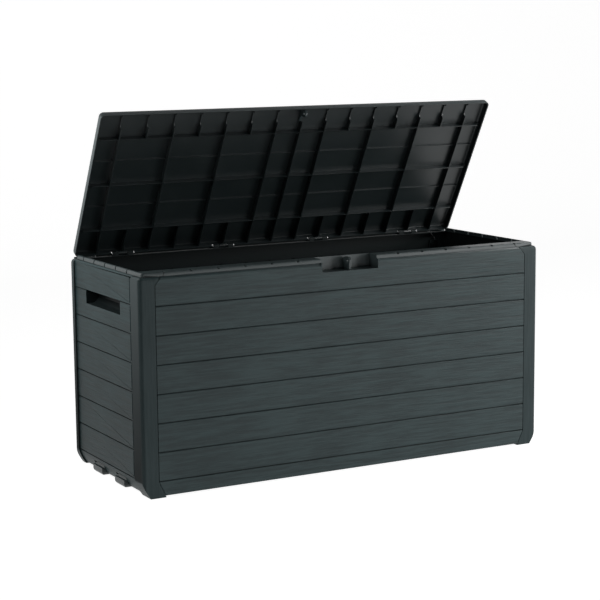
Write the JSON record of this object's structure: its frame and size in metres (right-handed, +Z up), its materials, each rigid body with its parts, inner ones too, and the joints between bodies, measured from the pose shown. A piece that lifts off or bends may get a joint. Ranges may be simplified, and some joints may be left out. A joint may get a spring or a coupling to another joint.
{
  "type": "deck storage box",
  "caption": "Rectangular deck storage box of moulded plank panels with a ribbed lid on a rear hinge, a padlock recess and end handle pockets.",
  "frame": {"origin": "on the ground, at the middle of the box that bounds the part with its lid open at rest", "axes": "+X along the length towards the right end seen from the front, +Y towards the hinges, +Z up"},
  "size_m": [1.16, 0.44, 0.9213],
  "materials": {
    "plank_resin": "matte anthracite resin with a fine brushed wood grain",
    "inner_resin": "smooth matte anthracite resin",
    "lid_resin": "matte anthracite resin, grained on top and smooth beneath",
    "pin_steel": "zinc-plated steel rod"
  },
  "bodies": {
    "box": {"front_panel": "plank_resin", "rear_panel": "plank_resin", "left_end_panel": "plank_resin", "right_end_panel": "plank_resin", "floor_panel": "inner_resin", "foot_left_front": "inner_resin", "foot_left_rear": "inner_resin", "foot_right_front": "inner_resin", "foot_right_rear": "inner_resin", "lock_eye": "plank_resin", "hinge_pin_1": "pin_steel", "hinge_pin_2": "pin_steel", "hinge_pin_3": "pin_steel", "hinge_pin_4": "pin_steel"},
    "lid": {"lid": "lid_resin", "lid_hasp": "lid_resin"}
  },
  "joints": [
    {"name": "lid_hinge", "type": "hinge", "parent": "box", "child": "lid", "pos_m": [0, 0.2085, 0.5456], "axis": [-1, 0, 0], "range_deg": [-60.8, 44.2]}
  ]
}
